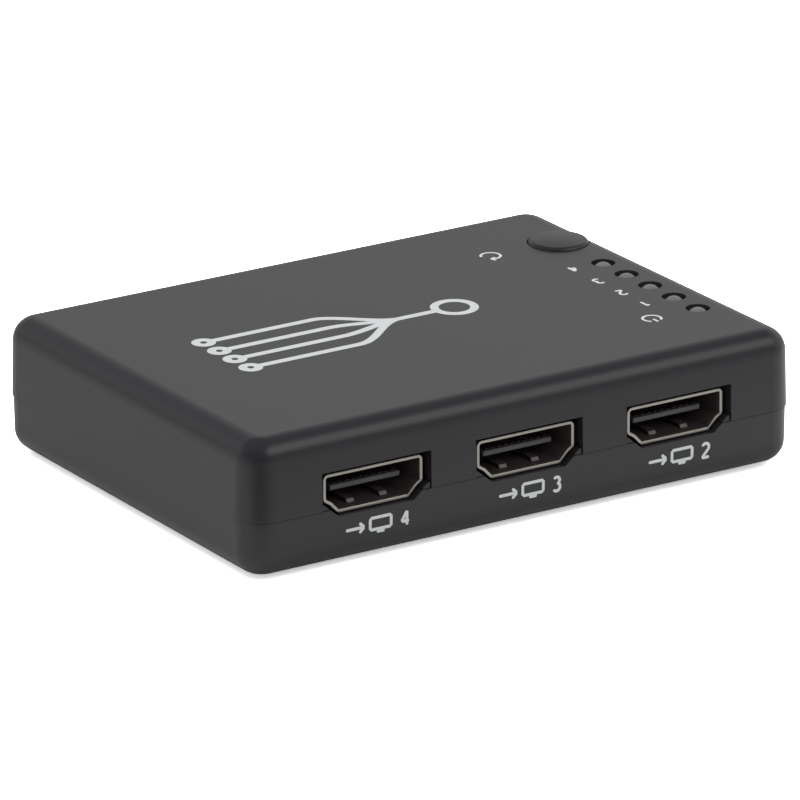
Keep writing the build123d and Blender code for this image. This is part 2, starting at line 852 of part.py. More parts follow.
def thermal_tape():
    z0 = board_top + flat_pack_standoff + flat_pack_height
    return plate(splitter_x, splitter_y, z0, z0 + tape_thickness, tape_size, tape_size)


def chip_heatsink():
    """Finned aluminium block stuck on the splitter chip."""
    z0 = board_top + flat_pack_standoff + flat_pack_height + tape_thickness
    body = plate(splitter_x, splitter_y, z0, z0 + heatsink_height, heatsink_size, heatsink_size)
    gap_count = heatsink_fin_count - 1
    gap = (heatsink_size - heatsink_fin_count * heatsink_fin) / gap_count
    for index in range(gap_count):
        x = splitter_x - heatsink_size / 2 + heatsink_fin + gap / 2 + index * (heatsink_fin + gap)
        body -= plate(
            x, splitter_y, z0 + heatsink_base, z0 + heatsink_height + cut_overrun,
            gap, heatsink_size + cut_overrun,
        )
    return body


def crystal_parts():
    """Resonator in a drawn metal can, on its plastic base."""
    base_top = board_top + crystal_base_height
    base = plate(crystal_x, crystal_y, board_top, base_top, crystal_base_length, crystal_base_width)
    can = rounded_plate(
        crystal_x, crystal_y, base_top, base_top + crystal_height,
        crystal_length, crystal_width, crystal_width / 2 - tail_gap,
    )
    return fillet(can.edges().group_by(Axis.Z)[-1], can_edge), base


def regulator_parts():
    body = pack_body(regulator_x, regulator_y, regulator_length, regulator_width, regulator_height)
    half = regulator_width / 2
    leads = lead_row(
        regulator_x, regulator_y, half, regulator_lead, regulator_height, regulator_lead_pitch, 3, (-90,)
    )
    leads += lead_row(
        regulator_x, regulator_y, half, regulator_tab, regulator_height, regulator_lead_pitch, 1, (90,)
    )
    return body, leads


def inductor_parts():
    core = plate(inductor_x, inductor_y, board_top, board_top + inductor_height, inductor_size, inductor_size)
    core = chamfer(core.edges().filter_by(Axis.Z), inductor_corner)
    core = fillet(core.edges().group_by(Axis.Z)[-1], flat_pack_edge)
    pads = []
    for sx in sides:
        near = inductor_x + sx * inductor_size / 2
        far = near + sx * inductor_pad_reach
        half = inductor_pad_width / 2
        pads.append(block(
            min(near, far), max(near, far), inductor_y - half, inductor_y + half,
            board_top, board_top + inductor_height / 2,
        ))
    return core, pads


def capacitor_parts():
    """Aluminium cans crimped on square plastic bases."""
    cans, bases = [], []
    places = [(can_x, near_can_y), (can_x, far_can_y), (inductor_x, far_can_y)]
    for x, y in places:
        base_top = board_top + can_base_height
        base = plate(x, y, board_top, base_top, can_base_size, can_base_size)
        east = base.edges().filter_by(Axis.Z).group_by(Axis.X)[-1]
        bases.append(chamfer(east, can_base_corner))
        can = post(x, y, base_top, base_top + can_height, can_diameter)
        cans.append(fillet(can.edges().group_by(Axis.Z)[-1], can_edge))
    return cans, bases


def chip_resistors():
    """Six chips in a row behind each socket, in its signal pairs."""
    chips = []
    for name, x, side in sockets:
        for index in range(chips_per_socket):
            shift = (index - (chips_per_socket - 1) / 2) * chip_pitch
            chips.append(plate(
                x + shift, side * chip_row_y, board_top, board_top + chip_height, chip_width, chip_length
            ))
    return chips


def chip_capacitors():
    """Bypass capacitors along two sides of the splitter chip."""
    chips = []
    reach = splitter_size / 2 + lead_shoulder + lead_foot + bypass_gap
    for sx in sides:
        for index in range(bypass_per_side):
            y = splitter_y + (index - (bypass_per_side - 1) / 2) * bypass_pitch
            x = splitter_x + sx * reach
            chips.append(plate(x, y, board_top, board_top + chip_height, chip_length, chip_width))
    return chips


tape_size = heatsink_size - 2 * tape_thickness


# Circuit board, cut for whatever passes through it
def circuit_board():
    board = rounded_plate(0, 0, board_z, board_top, board_length, board_depth, board_corner)
    hole = screw_diameter + 2 * screw_clearance
    low = board_z - cut_overrun
    high = board_top + cut_overrun
    for sx, sy in corners:
        board -= post(sx * boss_x, sy * boss_y, low, high, hole)
    leg_x = rim_width / 2 - rim_flare - sheet / 2
    for name, x, side in sockets:
        for sx in sides:
            for number in (0, 1):
                y = side * (rim_y - shell_leg_front - number * shell_leg_pitch)
                board -= plate(
                    x + sx * leg_x, y, low, high,
                    sheet + 2 * leg_clearance, shell_leg_width + 2 * leg_clearance,
                )
    tail_y = jack_back_y + jack_tail_thickness / 2
    spring_y = face_y - jack_collar_recess - jack_spring_leg - jack_tail_thickness / 2
    slot = jack_tail_thickness + 2 * leg_clearance
    board -= plate(jack_x, tail_y, low, high, jack_tail_width + 2 * leg_clearance, slot)
    board -= plate(jack_x, spring_y, low, high, jack_spring_width + 2 * leg_clearance, slot)
    for lead in led_leads(led_lead_hole, low, high):
        board -= lead
    for sx, sy in corners:
        board -= plate(
            reset_x + sx * (switch_size + switch_leg_thickness) / 2, reset_y + sy * switch_leg_offset,
            low, high, switch_leg_thickness + 2 * leg_clearance, switch_leg_width + 2 * leg_clearance,
        )
    return board


# Assembly: every node with its solids
nodes = {
    "top_shell": top_shell(),
    "bottom_shell": bottom_shell(),
    "rubber_feet": rubber_feet(),
    "case_screws": case_screws(),
    "circuit_board": circuit_board(),
}

one_shell = hdmi_shell()
one_insulator = hdmi_insulator()
one_contact_set = Compound(children=[strip.solid() for strip in contact_set(0)])
for name, x, side in sockets:
    place = seated(side, x, rim_recess)
    nodes[f"hdmi_shell_{name}"] = moved(one_shell, place)
    nodes[f"hdmi_insulator_{name}"] = moved(one_insulator, place)
    nodes[f"hdmi_contacts_{name}"] = moved(one_contact_set, place)

jack_place = seated(1, jack_x, jack_collar_recess)
nodes["power_jack_housing"] = moved(jack_body(), jack_place)
nodes["power_jack_pin"] = moved(jack_pin(), jack_place)
nodes["power_jack_spring"] = moved(jack_spring(), jack_place)

nodes["reset_button_cap"] = reset_button_cap()
nodes["switch_plunger"] = switch_plunger()
nodes["switch_housing"] = switch_housing()
nodes["switch_cover"] = switch_cover()
nodes["switch_dome"] = switch_dome()
nodes["switch_terminals"] = switch_terminals()

for index, name in enumerate(lights):
    nodes[f"led_{name}"] = led_lamp(index)
nodes["led_leads"] = led_leads(led_lead, board_z - leg_overhang, led_base_z)
nodes["led_spacers"] = led_spacers()

around = (0, 90, 180, 270)
nodes["splitter_chip"] = pack_body(splitter_x, splitter_y, splitter_size, splitter_size, flat_pack_height)
nodes["splitter_chip_leads"] = lead_row(
    splitter_x, splitter_y, splitter_size / 2, splitter_lead_width, flat_pack_height,
    splitter_lead_pitch, splitter_leads_per_side, around,
)
nodes["thermal_tape"] = thermal_tape()
nodes["chip_heatsink"] = chip_heatsink()
nodes["control_chip"] = pack_body(control_x, control_y, control_size, control_size, flat_pack_height)
nodes["control_chip_leads"] = lead_row(
    control_x, control_y, control_size / 2, control_lead_width, flat_pack_height,
    control_lead_pitch, control_leads_per_side, around,
)
memory_chips, memory_leads = [], []
for sy in sides:
    y = control_y + sy * memory_pitch_y / 2
    memory_chips.append(pack_body(memory_x, y, memory_width, memory_length, memory_height))
    memory_leads += lead_row(
        memory_x, y, memory_width / 2, memory_lead_width, memory_height,
        memory_lead_pitch, memory_leads_per_side, (0, 180),
    )
nodes["memory_chips"] = memory_chips
nodes["memory_chip_leads"] = memory_leads
nodes["crystal_can"], nodes["crystal_base"] = crystal_parts()
nodes["voltage_regulator"], nodes["regulator_leads"] = regulator_parts()
nodes["inductor_core"], nodes["inductor_terminals"] = inductor_parts()
nodes["capacitor_cans"], nodes["capacitor_bases"] = capacitor_parts()
nodes["chip_resistors"] = chip_resistors()
nodes["chip_capacitors"] = chip_capacitors()

os.makedirs("parts", exist_ok=True)
for name, shape in nodes.items():
    pieces = shape if isinstance(shape, list) else [shape]
    solids = [solid for piece in pieces for solid in piece.solids()]
    export_step(solids[0] if len(solids) == 1 else Compound(children=solids), f"parts/{name}.step")
print("nodes", len(nodes))
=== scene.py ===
import math

import bpy
import numpy as np
from mathutils import Matrix, Vector


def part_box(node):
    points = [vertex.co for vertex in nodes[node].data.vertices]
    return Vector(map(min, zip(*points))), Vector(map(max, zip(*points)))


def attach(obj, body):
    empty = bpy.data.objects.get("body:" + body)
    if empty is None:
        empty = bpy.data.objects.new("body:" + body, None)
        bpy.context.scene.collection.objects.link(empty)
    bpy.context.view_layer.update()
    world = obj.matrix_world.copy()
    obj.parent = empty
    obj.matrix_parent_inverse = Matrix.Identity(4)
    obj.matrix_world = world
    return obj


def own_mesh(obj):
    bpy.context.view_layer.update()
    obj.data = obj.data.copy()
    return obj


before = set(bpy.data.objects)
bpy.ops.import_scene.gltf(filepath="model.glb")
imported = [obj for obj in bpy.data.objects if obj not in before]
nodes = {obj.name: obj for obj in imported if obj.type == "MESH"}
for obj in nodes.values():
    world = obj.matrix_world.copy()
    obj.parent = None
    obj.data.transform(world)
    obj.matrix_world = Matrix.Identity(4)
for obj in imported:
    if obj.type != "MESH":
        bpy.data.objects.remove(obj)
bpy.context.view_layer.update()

scene = bpy.context.scene
scene.view_settings.view_transform = "Standard"

# Camera. It stands low to the front left of the case with a long lens, so the top, the row of
# three sockets and the plain left end all show. Angles in radians, lengths in metres.
yaw = 0.569
pitch = 0.3408
roll = -0.0029
distance = 1.11372
aside = 0.00019
above = 0.0071
foot_height = 0.0005
focal_length_mm = 376.18

look = Vector((math.sin(yaw) * math.cos(pitch), math.cos(yaw) * math.cos(pitch), -math.sin(pitch)))
level = Vector((math.cos(yaw), -math.sin(yaw), 0.0))
tall = level.cross(look)
right = level * math.cos(roll) + tall * math.sin(roll)
upward = tall * math.cos(roll) - level * math.sin(roll)
eye = right * aside + upward * above - look * distance + Vector((0, 0, foot_height))
camera = bpy.data.objects.new("camera", bpy.data.cameras.new("camera"))
scene.collection.objects.link(camera)
camera.data.lens = focal_length_mm
camera.data.sensor_width = 36
camera.data.clip_start = 0.05
camera.data.clip_end = 50
camera.matrix_world = Matrix((right, upward, -look)).transposed().to_4x4()
camera.location = eye
scene.camera = camera


# Studio. A white backdrop stands behind a white table and is brighter to the right; the ceiling
# and the side of the camera are dark. One wide soft lamp hangs over the table, another stands
# high to the front right.
def add(tree, kind, *plugs, **settings):
    """Adds a node with its settings; a plug is an input and the socket or value that feeds it."""
    node = tree.nodes.new(kind)
    for key, value in settings.items():
        setattr(node, key, value)
    for name, source in plugs:
        if isinstance(source, bpy.types.NodeSocket):
            tree.links.new(source, node.inputs[name])
        else:
            node.inputs[name].default_value = source
    return node


def math_node(tree, operation, first, second=0.0, third=0.0):
    """One sum on numbers; gives its output socket."""
    plugs = [(0, first), (1, second), (2, third)]
    return add(tree, "ShaderNodeMath", *plugs, operation=operation).outputs[0]


def remap(tree, value, low, high, to_low, to_high, smooth=True):
    """Carries one range of a value to another, eased at both ends and held outside them."""
    plugs = [(0, value), (1, low), (2, high), (3, to_low), (4, to_high)]
    kind = "SMOOTHSTEP" if smooth else "LINEAR"
    return add(tree, "ShaderNodeMapRange", *plugs, interpolation_type=kind).outputs[0]


def seen_directly(tree, path):
    """1 for rays from the camera, also through something clear, and 0 for all others."""
    through = path.outputs["Is Transmission Ray"]
    return math_node(tree, "MAXIMUM", path.outputs["Is Camera Ray"], through)


def along(tree, place, direction):
    """How far a place, or how much of a direction, lies along a given direction."""
    plugs = [(0, place), (1, tuple(direction))]
    return add(tree, "ShaderNodeVectorMath", *plugs, operation="DOT_PRODUCT").outputs["Value"]


def part_of(tree, place, axis):
    """One coordinate of a place."""
    return add(tree, "ShaderNodeSeparateXYZ", (0, place)).outputs[axis]


backdrop_top = 0.38
backdrop_soft = 0.75
backdrop_level = 0.67
horizon_level = 0.40
backdrop_side = 0.2
backdrop_tilt = 0.18
ceiling_level = 0.10
front_top = 0.05
front_soft = 0.35
front_level = 0.45
dark_start = 0.70
dark_end = 0.96
dark_share = 0.12
turn_start = -0.2
turn_end = 0.3
room_level = 0.55
table_lamp_place = (-0.35, 0.35, 1.05)
table_lamp_side = 0.9
table_lamp_power = 7.0
front_lamp_place = (0.46, -0.68, 0.86)
front_lamp_aim = (0, 0, 0.01)
front_lamp_width = 1.0
front_lamp_height = 0.6
front_lamp_power = 2.9

world = bpy.data.worlds.new("studio")
scene.world = world
world.use_nodes = True
tree = world.node_tree
tree.nodes.clear()
path = add(tree, "ShaderNodeLightPath")
toward = add(tree, "ShaderNodeTexCoord").outputs["Generated"]
height = part_of(tree, toward, "Z")
rightward = along(tree, toward, level)
nearness = along(tree, toward, (-math.sin(yaw), -math.cos(yaw), 0.0))
rise = remap(tree, height, 0.0, backdrop_top, horizon_level, backdrop_level, smooth=False)
behind = remap(tree, height, backdrop_top, backdrop_soft, rise, ceiling_level)
least, most = 1 - backdrop_tilt, 1 + backdrop_tilt
tilt = remap(tree, rightward, -backdrop_side, backdrop_side, least, most, smooth=False)
behind = math_node(tree, "MULTIPLY", behind, tilt)
ahead = remap(tree, height, front_top, front_soft, front_level, ceiling_level)
turned = remap(tree, nearness, turn_start, turn_end, 0.0, 1.0)
difference = math_node(tree, "SUBTRACT", ahead, behind)
mirrored = math_node(tree, "MULTIPLY_ADD", turned, difference, behind)
shaded = remap(tree, nearness, dark_start, dark_end, 1.0, dark_share)
mirrored = math_node(tree, "MULTIPLY", mirrored, shaded)
seen = seen_directly(tree, path)
strength = math_node(tree, "MULTIPLY", path.outputs["Is Glossy Ray"], mirrored)
spread = math_node(tree, "MULTIPLY", path.outputs["Is Diffuse Ray"], room_level)
strength = math_node(tree, "ADD", strength, spread)
strength = math_node(tree, "MAXIMUM", strength, seen)
background = add(tree, "ShaderNodeBackground", ("Color", (1, 1, 1, 1)), ("Strength", strength))
add(tree, "ShaderNodeOutputWorld", ("Surface", background.outputs[0]))


def softbox(name, place, aim, width, height, power):
    """Oblong area lamp at a place, turned to a point, in metres and watts."""
    data = bpy.data.lights.new(name, "AREA")
    data.shape = "RECTANGLE"
    data.size = width
    data.size_y = height
    data.energy = power
    lamp = bpy.data.objects.new(name, data)
    scene.collection.objects.link(lamp)
    lamp.location = place
    lamp.rotation_euler = (Vector(aim) - Vector(place)).to_track_quat("-Z", "Y").to_euler()
    return lamp


table_lamp = softbox(
    "table_lamp", table_lamp_place, (0, 0, 0), table_lamp_side, table_lamp_side, table_lamp_power
)
table_lamp.visible_glossy = False
softbox(
    "front_lamp", front_lamp_place, front_lamp_aim,
    front_lamp_width, front_lamp_height, front_lamp_power,
)


# Table. One white sheet under the object. It is overexposed, so it is seen pure white but for a
# soft shadow close to the case. For the light it throws back onto the case, which the camera doesn't
# see directly, its colour holds painted shade: darker to the left and to the front, and a painted
# shadow of the camera's stand on one patch.
def grey_of(tree, value):
    """Colour with the same value in all three channels."""
    return add(tree, "ShaderNodeCombineXYZ", (0, value), (1, value), (2, value)).outputs[0]


table_reach = 4.0
table_drop = 0.00002
table_exposed = 2.7
table_lift = 0.42
left_end = -0.12
right_end = 0.10
left_white = 0.54
front_start = -0.075
front_end = -0.040
front_share = 0.55
stand_place = (-0.0667, -0.0703, 0.0)
stand_inner = 0.010
stand_outer = 0.038
stand_share = 0.05

table_mesh = bpy.data.meshes.new("table")
table_corners = [(-1, -1), (1, -1), (1, 1), (-1, 1)]
table_points = [(x * table_reach, y * table_reach, -table_drop) for x, y in table_corners]
table_mesh.from_pydata(table_points, [], [(0, 1, 2, 3)])
table = bpy.data.objects.new("table", table_mesh)
scene.collection.objects.link(table)
paper = bpy.data.materials.new("white_paper")
paper.use_nodes = True
tree = paper.node_tree
tree.nodes.clear()
path = add(tree, "ShaderNodeLightPath")
seen = seen_directly(tree, path)
lift = math_node(tree, "MULTIPLY", seen, table_lift)
place = add(tree, "ShaderNodeTexCoord").outputs["Object"]
plugs = [(0, place), (1, stand_place)]
from_stand = add(tree, "ShaderNodeVectorMath", *plugs, operation="DISTANCE").outputs["Value"]
rightward = along(tree, place, level)
# Painted shade in the colour that lights the case: darker to the left, to the front and round the
# stand.
painted_shade_across = remap(tree, rightward, left_end, right_end, left_white, 1.0, smooth=False)
stand_shade = remap(tree, from_stand, stand_inner, stand_outer, stand_share, 1.0)
front_shade = remap(tree, part_of(tree, place, "Y"), front_start, front_end, front_share, 1.0)
unseen_painted_shade = math_node(tree, "MULTIPLY", math_node(tree, "MULTIPLY", painted_shade_across, stand_shade), front_shade)
white = math_node(tree, "MAXIMUM", unseen_painted_shade, math_node(tree, "MULTIPLY", seen, table_exposed))
diffuse = add(tree, "ShaderNodeBsdfDiffuse", ("Color", grey_of(tree, white)))
glow = add(tree, "ShaderNodeEmission", ("Color", (1, 1, 1, 1)), ("Strength", lift))
both = add(tree, "ShaderNodeAddShader", (0, diffuse.outputs[0]), (1, glow.outputs[0]))
add(tree, "ShaderNodeOutputMaterial", ("Surface", both.outputs[0]))
table_mesh.materials.append(paper)


# Case shells. Two injection-moulded halves in charcoal ABS with a fine spark-eroded skin from the
# mould. The bottom shell's lip stands in the top shell, and four screws from below hold them.
parting_height = 0.0083
parting_half_gap = 0.00009
full_dark_share = 0.4
side_reach = 0.0312
end_reach = 0.0295
side_shade = 0.45
end_shade = 0.85
cloud_middle = 0.5
flow_scale = 70.0
speck_scale = 1900.0
speck_shade = 0.10
pit_roughness = 0.10


def finish_group(name, inputs, outputs):
    """Empty node group, with its sockets as rows of a name, a kind and, for inputs, a value."""
    group = bpy.data.node_groups.new(name, "ShaderNodeTree")
    for label, kind, value in inputs:
        socket = group.interface.new_socket(label, in_out="INPUT", socket_type="NodeSocket" + kind)
        if value is not None:
            socket.default_value = value
    for label, kind in outputs:
        group.interface.new_socket(label, in_out="OUTPUT", socket_type="NodeSocket" + kind)
    return group, group.nodes.new("NodeGroupInput"), group.nodes.new("NodeGroupOutput")


def noise(tree, where, scale, detail=2.0, roughness=0.5):
    """Cloudy value from 0 to 1 at a place; the scale is in cells per metre."""
    plugs = [("Vector", where), ("Scale", scale), ("Detail", detail), ("Roughness", roughness)]
    return add(tree, "ShaderNodeTexNoise", *plugs).outputs[0]


def blend_colours(tree, share, first, second, kind="MIX"):
    """First colour at share 0, second at share 1; gives the output socket."""
    plugs = [(0, share), (6, first), (7, second)]
    return add(tree, "ShaderNodeMix", *plugs, data_type="RGBA", blend_type=kind).outputs[2]


def moulded_skin():
    """Group for moulded plastic: the pits of the eroded mould, specks, and slow drifts of colour."""
    group, given, out = finish_group(
        "moulded_skin",
        [
            ("Where", "Vector", None), ("Colour", "Color", (0.03, 0.03, 0.03, 1)),
            ("Roughness", "Float", 0.45), ("Pit", "Float", 6000.0), ("Drift", "Float", 0.06),
        ],
        [("Colour", "Color"), ("Roughness", "Float"), ("Height", "Float")],
    )
    where = given.outputs["Where"]
    pits = noise(group, where, given.outputs["Pit"], detail=3.0, roughness=0.6)
    flow = noise(group, where, flow_scale, detail=3.0)
    flow = math_node(group, "SUBTRACT", flow, cloud_middle)
    speck = math_node(group, "SUBTRACT", noise(group, where, speck_scale), cloud_middle)
    shade = math_node(group, "MULTIPLY_ADD", flow, given.outputs["Drift"], 1.0)
    shade = math_node(group, "MULTIPLY_ADD", speck, speck_shade, shade)
    colour = blend_colours(group, 1.0, given.outputs["Colour"], grey_of(group, shade), "MULTIPLY")
    depth = math_node(group, "SUBTRACT", pits, cloud_middle)
    rough = math_node(group, "MULTIPLY_ADD", depth, pit_roughness, given.outputs["Roughness"])
    group.links.new(colour, out.inputs["Colour"])
    group.links.new(rough, out.inputs["Roughness"])
    group.links.new(pits, out.inputs["Height"])
    return group


skin = moulded_skin()


def material_on(name):
    """New material: its tree, its Principled shader and the place in object coordinates."""
    material = bpy.data.materials.new(name)
    material.use_nodes = True
    tree = material.node_tree
    where = add(tree, "ShaderNodeTexCoord").outputs["Object"]
    return material, tree, tree.nodes["Principled BSDF"], where


def bump(tree, shader, height, distance):
    """Feeds a height, in units of a distance in metres, to the shader's normal."""
    plugs = [("Height", height), ("Distance", distance), ("Strength", 1.0)]
    tree.links.new(add(tree, "ShaderNodeBump", *plugs).outputs[0], shader.inputs["Normal"])


def moulded_plastic(name, colour, roughness, pit, depth, drift=0.06):
    """Plastic straight from the mould, made with the shared skin."""
    material, tree, shader, where = material_on(name)
    cast = tree.nodes.new("ShaderNodeGroup")
    cast.node_tree = skin
    tree.links.new(where, cast.inputs["Where"])
    cast.inputs["Colour"].default_value = (*colour, 1)
    cast.inputs["Roughness"].default_value = roughness
    cast.inputs["Pit"].default_value = pit
    cast.inputs["Drift"].default_value = drift
    tree.links.new(cast.outputs["Colour"], shader.inputs["Base Color"])
    tree.links.new(cast.outputs["Roughness"], shader.inputs["Roughness"])
    bump(tree, shader, cast.outputs["Height"], depth)
    return material


def dress(material, *names):
    """Puts one material on every slot of the named pieces of the frame."""
    for name in names:
        mesh = nodes[name].data
        mesh.materials.clear()
        mesh.materials.append(material)


def add_parting_line(material, height, half_gap):
    """Darkens a fine line round the case where the shells meet, at a height in metres: a painted
    shadow of the gap between the shells, in the colour and in the tint of the gloss.
    """
    tree = material.node_tree
    shader = tree.nodes["Principled BSDF"]
    where = add(tree, "ShaderNodeTexCoord").outputs["Object"]
    above = math_node(tree, "SUBTRACT", part_of(tree, where, "Z"), height)
    apart = math_node(tree, "ABSOLUTE", above)
    sideways = math_node(tree, "ABSOLUTE", part_of(tree, where, "Y"))
    deepest = remap(tree, sideways, end_reach, side_reach, end_shade, side_shade)
    full_dark = half_gap * full_dark_share
    grey = grey_of(tree, remap(tree, apart, full_dark, half_gap, deepest, 1.0, smooth=False))
    for name in ("Base Color", "Specular Tint"):
        socket = shader.inputs[name]
        if socket.is_linked:
            shade = blend_colours(tree, 1.0, socket.links[0].from_socket, grey, "MULTIPLY")
            tree.links.new(shade, socket)
        else:
            tree.links.new(grey, socket)


case_plastic = moulded_plastic(
    "case_plastic", (0.0258, 0.0241, 0.0276), roughness=0.33, pit=6500.0, depth=0.000006
)
# A painted shadow darkens the case plastic along the parting line.
add_parting_line(case_plastic, parting_height, parting_half_gap)
dress(case_plastic, "top_shell", "bottom_shell")

# Rubber feet. Four soft black discs pressed into round recesses of the bottom shell; they are
# the only part that touches the table.
foot_rubber = moulded_plastic(
    "foot_rubber", (0.018, 0.018, 0.018), roughness=0.8, pit=3000.0, depth=0.00002
)
dress(foot_rubber, "rubber_feet")


# Case screws. Pan-head tapping screws in nickel-plated steel, driven up through the bottom shell
# and the board into the bosses of the top shell.
stain_scale = 420.0
stain_start = 0.45
stain_end = 0.75
stain_roughness = 0.15
grain_roughness = 0.2
plating_grain = 9000.0
plating_depth = 0.000004


def plated_skin():
    """Group for plated or bare metal: a fine grain, and stains of tarnish."""
    group, given, out = finish_group(
        "plated_skin",
        [
            ("Where", "Vector", None), ("Metal", "Color", (0.7, 0.7, 0.7, 1)),
            ("Tarnish", "Color", (0.5, 0.45, 0.4, 1)), ("Stain", "Float", 0.3),
            ("Roughness", "Float", 0.3),
        ],
        [("Colour", "Color"), ("Roughness", "Float"), ("Height", "Float")],
    )
    where = given.outputs["Where"]
    grain = noise(group, where, plating_grain, detail=3.0, roughness=0.7)
    cloud = noise(group, where, stain_scale, detail=4.0, roughness=0.6)
    stained = remap(group, cloud, stain_start, stain_end, 0.0, 1.0)
    stained = math_node(group, "MULTIPLY", stained, given.outputs["Stain"])
    colour = blend_colours(group, stained, given.outputs["Metal"], given.outputs["Tarnish"])
    depth = math_node(group, "SUBTRACT", grain, cloud_middle)
    rough = math_node(group, "MULTIPLY_ADD", depth, grain_roughness, given.outputs["Roughness"])
    rough = math_node(group, "MULTIPLY_ADD", stained, stain_roughness, rough)
    group.links.new(colour, out.inputs["Colour"])
    group.links.new(rough, out.inputs["Roughness"])
    group.links.new(grain, out.inputs["Height"])
    return group


plating = plated_skin()


def plated_metal(name, metal, tarnish, stain, roughness):
    """Plated or bare metal, made with the shared plating."""
    material, tree, shader, where = material_on(name)
    coat = tree.nodes.new("ShaderNodeGroup")
    coat.node_tree = plating
    tree.links.new(where, coat.inputs["Where"])
    coat.inputs["Metal"].default_value = (*metal, 1)
    coat.inputs["Tarnish"].default_value = (*tarnish, 1)
    coat.inputs["Stain"].default_value = stain
    coat.inputs["Roughness"].default_value = roughness
    shader.inputs["Metallic"].default_value = 1.0
    tree.links.new(coat.outputs["Colour"], shader.inputs["Base Color"])
    tree.links.new(coat.outputs["Roughness"], shader.inputs["Roughness"])
    bump(tree, shader, coat.outputs["Height"], plating_depth)
    return material


screw_steel = plated_metal(
    "screw_steel", (0.62, 0.61, 0.58), (0.42, 0.38, 0.32), stain=0.4, roughness=0.28
)
dress(screw_steel, "case_screws")

# Circuit board. Glass-filled epoxy under green solder mask; copper tracks raise the mask a
# little, the drilled holes and the cut edge show the bare yellow board.
mask_green = (0.006, 0.050, 0.022, 1)
track_green = (0.012, 0.090, 0.038, 1)
bare_board = (0.32, 0.26, 0.12, 1)
track_cells = 260.0
track_jitter = 0.35
tracks_in_cell = 6.0
track_start = 0.22
track_end = 0.28
board_grain = 1500.0
cloud_low = 0.3
cloud_high = 0.7
edge_start = 0.7
edge_end = 0.3
board_roughness = (0.28, 0.42)
grain_rise = 0.2
track_height = 0.00003

board_material, tree, shader, where = material_on("circuit_board")
plugs = [("Vector", where), ("Scale", track_cells), ("Randomness", track_jitter)]
cells = add(tree, "ShaderNodeTexVoronoi", *plugs, distance="CHEBYCHEV").outputs["Distance"]
stripes = math_node(tree, "PINGPONG", math_node(tree, "MULTIPLY", cells, tracks_in_cell), 0.5)
tracks = remap(tree, stripes, track_start, track_end, 0.0, 1.0)
grain = noise(tree, where, board_grain, detail=3.0)
mask = blend_colours(tree, tracks, mask_green, track_green)
normal = add(tree, "ShaderNodeNewGeometry").outputs["Normal"]
flat = math_node(tree, "ABSOLUTE", part_of(tree, normal, "Z"))
edge_share = remap(tree, flat, edge_end, edge_start, 1.0, 0.0)
tree.links.new(blend_colours(tree, edge_share, mask, bare_board), shader.inputs["Base Color"])
rough = remap(tree, grain, cloud_low, cloud_high, *board_roughness)
tree.links.new(rough, shader.inputs["Roughness"])
bump(tree, shader, math_node(tree, "MULTIPLY_ADD", grain, grain_rise, tracks), track_height)
dress(board_material, "circuit_board")

# Chips. Moulded epoxy packages with bent, tinned leads; the big splitter chip carries a finned
# heatsink on thermal tape.
package_black = moulded_plastic(
    "package_black", (0.016, 0.016, 0.017), roughness=0.55, pit=9000.0, depth=0.000015
)
dress(package_black, "splitter_chip", "control_chip", "memory_chips", "voltage_regulator")
tinned_metal = plated_metal(
    "tinned_metal", (0.66, 0.66, 0.64), (0.45, 0.44, 0.42), stain=0.5, roughness=0.34
)
dress(tinned_metal, "splitter_chip_leads", "control_chip_leads", "memory_chip_leads")
dress(tinned_metal, "regulator_leads")
heatsink_aluminium = plated_metal(
    "heatsink_aluminium", (0.52, 0.53, 0.55), (0.40, 0.41, 0.43), stain=0.5, roughness=0.42
)
dress(heatsink_aluminium, "chip_heatsink")
thermal_tape = moulded_plastic(
    "thermal_tape", (0.42, 0.44, 0.47), roughness=0.7, pit=2500.0, depth=0.00002
)
dress(thermal_tape, "thermal_tape")

# Power parts on the board. Aluminium-can capacitors on plastic bases, a moulded ferrite inductor,
# a quartz crystal in a drawn can.
can_aluminium = plated_metal(
    "can_aluminium", (0.72, 0.72, 0.73), (0.55, 0.55, 0.56), stain=0.3, roughness=0.30
)
dress(can_aluminium, "capacitor_cans", "crystal_can")
base_plastic = moulded_plastic(
    "base_plastic", (0.02, 0.02, 0.022), roughness=0.5, pit=5000.0, depth=0.00001
)
dress(base_plastic, "capacitor_bases", "crystal_base")
ferrite = moulded_plastic(
    "ferrite", (0.045, 0.043, 0.042), roughness=0.75, pit=3200.0, depth=0.00004, drift=0.3
)
dress(ferrite, "inductor_core")
dress(tinned_metal, "inductor_terminals")

# Chip resistors and capacitors. Ceramic bodies with tinned ends, soldered in rows behind the
# sockets and along the splitter chip.
chip_body_half = 0.00048
chip_reach = 0.0008
chip_black = (0.025, 0.026, 0.03, 1)
tin_shades = (0.5, 0.68)
chip_roughness = (0.32, 0.46)
chip_grain = 2400.0
chip_depth = 0.00001

row_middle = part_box("chip_resistors")[1].y - chip_reach
resistor_ceramic, tree, shader, where = material_on("resistor_ceramic")
outward = math_node(tree, "ABSOLUTE", part_of(tree, where, "Y"))
from_middle = math_node(tree, "ABSOLUTE", math_node(tree, "SUBTRACT", outward, row_middle))
ends = math_node(tree, "GREATER_THAN", from_middle, chip_body_half)
cloud = noise(tree, where, chip_grain, detail=3.0)
tin = grey_of(tree, remap(tree, cloud, cloud_low, cloud_high, *tin_shades))
tree.links.new(blend_colours(tree, ends, chip_black, tin), shader.inputs["Base Color"])
tree.links.new(ends, shader.inputs["Metallic"])
rough = remap(tree, cloud, cloud_low, cloud_high, *chip_roughness)
tree.links.new(rough, shader.inputs["Roughness"])
bump(tree, shader, cloud, chip_depth)
dress(resistor_ceramic, "chip_resistors")
capacitor_ceramic = moulded_plastic(
    "capacitor_ceramic", (0.33, 0.22, 0.12), roughness=0.45, pit=4000.0, depth=0.00001
)
dress(capacitor_ceramic, "chip_capacitors")
